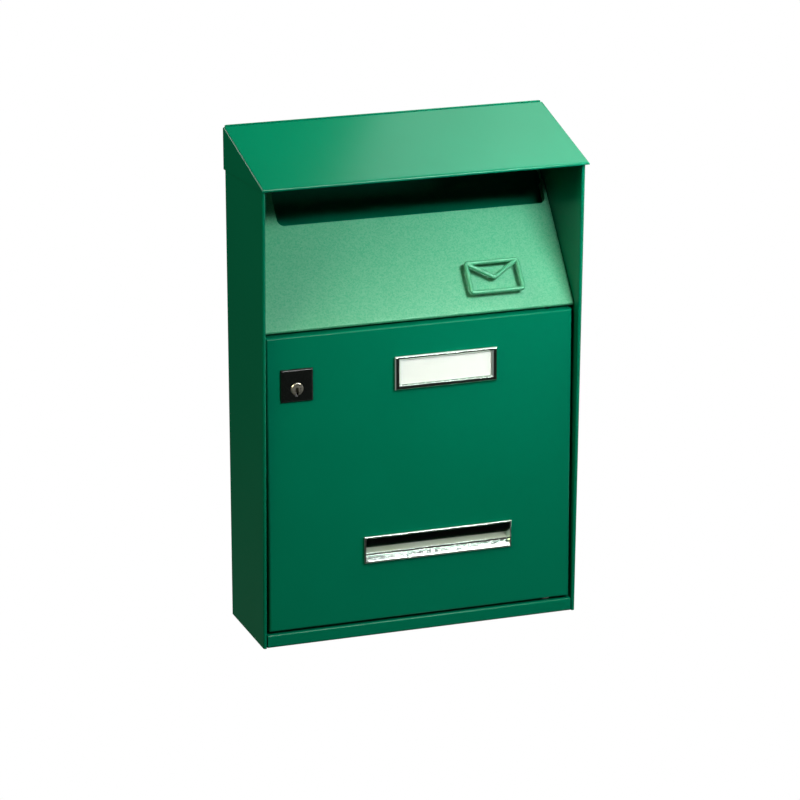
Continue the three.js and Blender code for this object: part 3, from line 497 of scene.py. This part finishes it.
# Cast acrylic: clear, with the shine of its outer faces only, and a hint of haze from wiping.
wiping = (6 * MM, 3.0, (0.3, 1.0, 1.0))
acrylic, acrylic_tree, acrylic_shader = patterned(
    "clear acrylic sheet",
    None,
    (wiping, 0.02, 0.08),
    Metallic=1.0,
    Base_Color=linear("#F4F8F8"),
)
clear = node(acrylic_tree, "ShaderNodeBsdfTransparent", {"Color": linear("#FAFCFB")})
fresnel = node(acrylic_tree, "ShaderNodeFresnel", {"IOR": 1.49})
inside = node(acrylic_tree, "ShaderNodeNewGeometry").outputs["Backfacing"]
outside = node(acrylic_tree, "ShaderNodeMath", {0: 1.0, 1: inside}, operation="SUBTRACT")
mirror_share = node(
    acrylic_tree,
    "ShaderNodeMath",
    {0: fresnel.outputs["Fac"], 1: outside.outputs["Value"]},
    operation="MULTIPLY",
)
sheet = node(
    acrylic_tree,
    "ShaderNodeMixShader",
    {
        0: mirror_share.outputs["Value"],
        1: clear.outputs["BSDF"],
        2: acrylic_shader.outputs["BSDF"],
    },
)
acrylic_tree.links.new(
    sheet.outputs["Shader"], acrylic_tree.nodes["Material Output"].inputs["Surface"]
)
finished("name_cover", COVER_EDGE, acrylic)

# ---------------------------------------------------------------------------------- window
# A chromed frame whose deep collar goes through the door, a clear pane held in it, and a black
# ring pushed onto the collar from behind. It shows from outside whether there is mail.

WINDOW_EDGE = 0.25 * MM  # rounding of the frame's edges
PANE_EDGE = 0.1 * MM
RING_EDGE = 0.15 * MM
SILL_HEIGHT = 5.4 * MM  # of the sill's inner edge over the frame's foot
SILL_DEPTH = 2 * MM  # that edge lies further than this behind the frame's front
SILL_CUT = 0.8 * MM  # how much lower it ends than on the model
LEDGE_HEIGHT = 6.6 * MM  # of the ledge behind the sill, over the frame's foot
LEDGE_START, LEDGE_MIDDLE, LEDGE_END = 3 * MM, 7 * MM, 10 * MM  # behind the frame's front
LEDGE_CUT = 0.4 * MM  # how much lower the ledge's front edge ends
LEDGE_RISE = 1.2 * MM  # how much higher its rear edge ends, at the pane
LEDGE_SLACK = 0.003 * MM  # the roundings at its two ends lie over its middle by more
NEAR = 0.2 * MM  # a height within this of another is the same
LEVEL = 0.9  # the normal of a nearly level face rises by more than this

# Inside the collar the ledge is a dull, hardly mirroring satin whose colour drifts in broad
# patches between olive and pale grey: a painted reflection of the room, not a colour of its own.
painted_reflection_patches = (38 * MM, 3.0, EVEN)
ledge_painted_reflection, _, _ = patterned(
    "ABS ledge with painted reflection",
    (painted_reflection_patches, "#8FA067", "#CBD8D8"),
    (painted_reflection_patches, 0.3, 0.42),
    Metallic=0.1,
    Specular_IOR_Level=0.5,
)
window_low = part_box("window_frame")[0]


def reset_sill(shape):
    """Brings the sill's inner edge down and tilts the ledge up to the pane."""
    for corner in shape.verts:
        height = corner.co.z - window_low.z
        depth = corner.co.y - window_low.y
        if abs(height - SILL_HEIGHT) < NEAR and depth > SILL_DEPTH:
            corner.co.z -= SILL_CUT
        elif abs(height - LEDGE_HEIGHT) < NEAR:
            corner.co.z += LEDGE_RISE if depth > LEDGE_MIDDLE else -LEDGE_CUT


window_frame = finished("window_frame", WINDOW_EDGE, chrome, segments=3, reshape=reset_sill)
# The level faces of the ledge inside the collar take the material with the painted reflection.
window_frame.data.materials.append(ledge_painted_reflection)
ledge_level = LEDGE_HEIGHT + (LEDGE_RISE - LEDGE_CUT) / 2
for face in window_frame.data.polygons:
    height = face.center.z - window_low.z
    depth = face.center.y - window_low.y
    if face.normal.z > LEVEL and LEDGE_START < depth < LEDGE_END:
        if height < ledge_level + LEDGE_SLACK:
            face.material_index = 1
finished("window_pane", PANE_EDGE, acrylic)

# Moulded ABS, nearly black: a fine spark-eroded grain with a soft shine.
mottle = (8 * MM, 2.0, EVEN)
erosion = (0.35 * MM, 2.0, EVEN)
black, _, _ = patterned(
    "black ABS",
    (mottle, "#060A08", "#0A0E0C"),
    (erosion, 0.22, 0.34),
    (erosion, 0.006 * MM),
    Specular_IOR_Level=0.5,
)
finished("window_retainer", RING_EDGE, black)

# ------------------------------------------------------------------------------------ lock
# A cam lock: a square black head and round body moulded in ABS, and a plug of die-cast zinc,
# nickel plated, with the keyway, which turns inside it. The plating is satin from tumbling.

HOUSING_EDGE = 0.3 * MM
PLUG_EDGE = 0.2 * MM

handled = (1.2 * MM, 3.0, EVEN)
nickel, _, _ = patterned(
    "nickel plated zinc",
    (handled, "#CFCDBC", "#E6E5D6"),
    (handled, 0.26, 0.4),
    (handled, 0.02 * MM),
    Metallic=1.0,
)
finished("lock_housing", HOUSING_EDGE, black, segments=3)
finished("lock_plug", PLUG_EDGE, nickel, segments=3)

# --------------------------------------------------------------------------- studio and light
# A plain floor and soft boxes, as for a catalogue. Floor and air look white but throw little
# light, so that the sides and the underside stay deep green.

FLOOR = -0.75  # its height in metres
FLOOR_HALF = 14  # half its width in metres

floor_mesh = bpy.data.meshes.new("floor")
floor_mesh.from_pydata(
    [
        (-FLOOR_HALF, -FLOOR_HALF, FLOOR),
        (FLOOR_HALF, -FLOOR_HALF, FLOOR),
        (FLOOR_HALF, FLOOR_HALF, FLOOR),
        (-FLOOR_HALF, FLOOR_HALF, FLOOR),
    ],
    [],
    [(0, 1, 2, 3)],
)
floor = bpy.data.objects.new("floor", floor_mesh)
bpy.context.scene.collection.objects.link(floor)
floor_paint, floor_tree, floor_shader = surface(
    "pale floor", Roughness=0.9, Specular_IOR_Level=0.0, Base_Color=linear("#666666")
)
white = node(floor_tree, "ShaderNodeEmission", {"Color": linear("#FFFFFF"), "Strength": 1.0})
seen_floor = node(
    floor_tree,
    "ShaderNodeMixShader",
    {
        0: node(floor_tree, "ShaderNodeLightPath").outputs["Is Camera Ray"],
        1: floor_shader.outputs["BSDF"],
        2: white.outputs["Emission"],
    },
)
floor_tree.links.new(
    seen_floor.outputs["Shader"], floor_tree.nodes["Material Output"].inputs["Surface"]
)
floor_mesh.materials.append(floor_paint)


def area_light(name, at, aim, width, height, power, colour="#FFFFFF", spread=180):
    """A rectangular light of `power` watts at one point, aimed at another, sizes in metres."""
    data = bpy.data.lights.new(name, "AREA")
    data.shape = "RECTANGLE"
    data.size = width
    data.size_y = height
    data.energy = power
    data.color = linear(colour)[:3]
    data.spread = math.radians(spread)
    lamp = bpy.data.objects.new(name, data)
    bpy.context.scene.collection.objects.link(lamp)
    lamp.visible_camera = False
    lamp.location = at
    lamp.rotation_euler = (Vector(aim) - Vector(at)).to_track_quat("-Z", "Y").to_euler()


# A long strip over the front, short of the roof's shadow, lights the chute and the door, and a
# small one close by lifts their right side. The high left box lights the left side, the roof
# box the roof, and the two sheen boxes shine in the roof's coat. The low, edge, floor and top
# boxes are small and mostly draw lines on the chrome and the folds. The back box is for views
# from behind.
middle = (0.0, -0.04, 0.05)
area_light("front strip", (0.22, -0.75, 0.555), middle, 0.35, 0.09, 5.9)
area_light("close strip", (0.13, -0.3, 0.315), (0.1, -0.04, 0.13), 0.14, 0.05, 0.18, spread=80)
area_light("low box", (0.85, -0.75, -0.25), middle, 0.3, 0.3, 1.5)
area_light("edge box", (-1.3, -0.6, -0.3), middle, 0.4, 0.4, 0.12)
area_light("floor box", (0.33, -0.57, -0.7), middle, 0.25, 0.25, 0.4)
area_light("high left box", (-1.2, -0.6, 0.95), middle, 0.6, 0.6, 12.0, "#FFF0C4")
area_light("roof box", (0.45, -0.05, 0.6), middle, 0.3, 0.3, 7.4, "#FFF8E2")
area_light("top box", (0.35, -0.4, 1.0), middle, 0.5, 0.3, 0.5)
area_light("back box", (-0.9, 1.6, 0.9), middle, 0.8, 0.8, 12.0)
area_light("sheen box", (0.288, 0.271, 0.635), (-0.003, -0.062, 0.309), 0.34, 0.3, 0.72)
area_light("narrow sheen box", (0.32, 0.242, 0.635), (0.025, -0.094, 0.309), 0.23, 0.3, 0.12)

# The air: nearly dark, with a soft glow low on the right towards the back.
GLOW_AT = Vector((0.9, 0.42, -0.1)).normalized()
GLOW_START = 0.6  # cosine of the angle from its middle at which the glow begins
DARK, BRIGHT = 0.03, 0.3  # strength of the air away from the glow and in its middle

world = bpy.data.worlds.new("studio")
bpy.context.scene.world = world
world.use_nodes = True
sky = world.node_tree
facing = node(sky, "ShaderNodeTexCoord").outputs["Generated"]
lean = node(sky, "ShaderNodeVectorMath", {0: facing, 1: GLOW_AT}, operation="DOT_PRODUCT")
glow = node(
    sky,
    "ShaderNodeMapRange",
    {
        "Value": lean.outputs["Value"],
        "From Min": GLOW_START,
        "From Max": 1.0,
        "To Min": DARK,
        "To Max": BRIGHT,
    },
)
sky.links.new(glow.outputs["Result"], sky.nodes["Background"].inputs["Strength"])
sky.nodes["Background"].inputs["Color"].default_value = linear("#FFFFFF")
white_wall = node(sky, "ShaderNodeBackground", {"Color": linear("#FFFFFF"), "Strength": 1.0})
seen_air = node(
    sky,
    "ShaderNodeMixShader",
    {
        0: node(sky, "ShaderNodeLightPath").outputs["Is Camera Ray"],
        1: sky.nodes["Background"].outputs["Background"],
        2: white_wall.outputs["Background"],
    },
)
sky.links.new(seen_air.outputs["Shader"], sky.nodes["World Output"].inputs["Surface"])

view = bpy.context.scene.view_settings
view.view_transform = "Standard"
view.look = "None"
